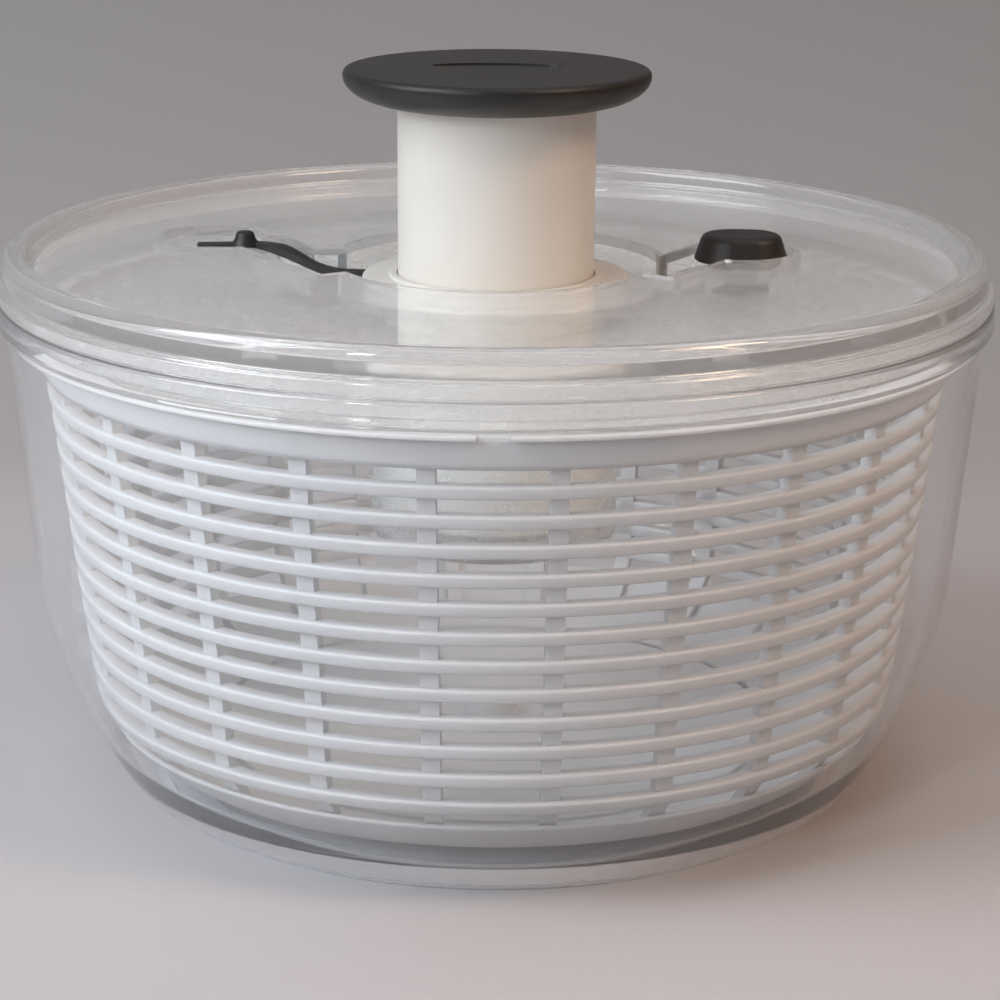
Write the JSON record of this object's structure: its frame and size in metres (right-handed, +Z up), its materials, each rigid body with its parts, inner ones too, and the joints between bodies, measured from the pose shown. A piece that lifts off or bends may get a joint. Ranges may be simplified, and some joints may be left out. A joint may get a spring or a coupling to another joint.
{
  "type": "salad spinner",
  "caption": "Pump-action salad spinner: round clear bowl with a slotted basket and a clear lid carrying a press knob, brake button and lock lever.",
  "frame": {"origin": "centre of the resting ring, on the surface the bowl stands on", "axes": "+Z up along the spin axis, -Y towards the front, +X towards the brake button"},
  "size_m": [0.268, 0.268, 0.1953],
  "materials": {
    "clear_shell": "clear moulded styrene-acrylonitrile, polished",
    "clear_disc": "clear moulded plastic with a light haze",
    "basket_plastic": "milky translucent polypropylene",
    "white_plastic": "warm white moulded plastic, satin",
    "black_plastic": "black moulded plastic, satin",
    "soft_black": "soft black thermoplastic rubber",
    "soft_clear": "clear grey non-slip rubber",
    "nylon": "grey glass-filled nylon",
    "steel": "bright steel"
  },
  "bodies": {
    "bowl": {"bowl": "clear_shell", "base_ring": "soft_clear"},
    "basket": {"basket": "basket_plastic"},
    "lid": {"lid_shell": "clear_shell", "hub_collar": "white_plastic", "mechanism_housing": "white_plastic", "housing_screws": "steel", "shaft_bush": "nylon"},
    "plunger": {"knob_cap": "soft_black", "knob_core": "white_plastic", "knob_screws": "steel", "plunger_tube": "white_plastic", "drive_nut": "nylon", "nut_retainer": "white_plastic", "return_spring": "steel"},
    "drive_shaft": {"twisted_shaft": "nylon", "clutch_driver": "nylon", "clutch_pawls": "nylon", "pawl_pins": "steel", "thrust_washer": "steel", "shaft_screw": "steel"},
    "drive_plate": {"drive_plate": "clear_disc", "clutch_ring": "nylon"},
    "brake": {"brake_button": "black_plastic", "brake_pad": "soft_black", "brake_clip": "steel", "brake_spring": "steel"},
    "lock": {"lock_lever": "black_plastic"}
  },
  "joints": [
    {"name": "lid_lift", "type": "slide", "parent": "bowl", "child": "lid", "axis": [0, 0, 1], "range_m": [0, 0.15]},
    {"name": "basket_spin", "type": "hinge", "parent": "bowl", "child": "basket", "pos_m": [0, 0, 0.0145], "axis": [0, 0, 1], "continuous": true},
    {"name": "plate_spin", "type": "hinge", "parent": "lid", "child": "drive_plate", "pos_m": [0, 0, 0.0672], "axis": [0, 0, 1], "continuous": true},
    {"name": "pump", "type": "slide", "parent": "lid", "child": "plunger", "axis": [0, 0, 1], "range_m": [-0.0425, 0], "stiffness_N_per_m": 350, "springref_m": 0.012, "deforming": ["return_spring"]},
    {"name": "shaft_spin", "type": "hinge", "parent": "lid", "child": "drive_shaft", "pos_m": [0, 0, 0.0747], "axis": [0, 0, 1], "range_deg": [-613, 1]},
    {"name": "brake_press", "type": "slide", "parent": "lid", "child": "brake", "axis": [0, 0, 1], "range_m": [-0.003, 0], "stiffness_N_per_m": 400, "springref_m": 0.004, "deforming": ["brake_spring"]},
    {"name": "lock_turn", "type": "hinge", "parent": "lid", "child": "lock", "pos_m": [0, 0, 0.138], "axis": [0, 0, 1], "range_deg": [0, 7]}
  ],
  "couplings": [
    {"joint": "plate_spin", "follows": "basket_spin", "ratio": 1},
    {"joint": "shaft_spin", "follows": "pump", "rad_per_m": 251.33}
  ]
}
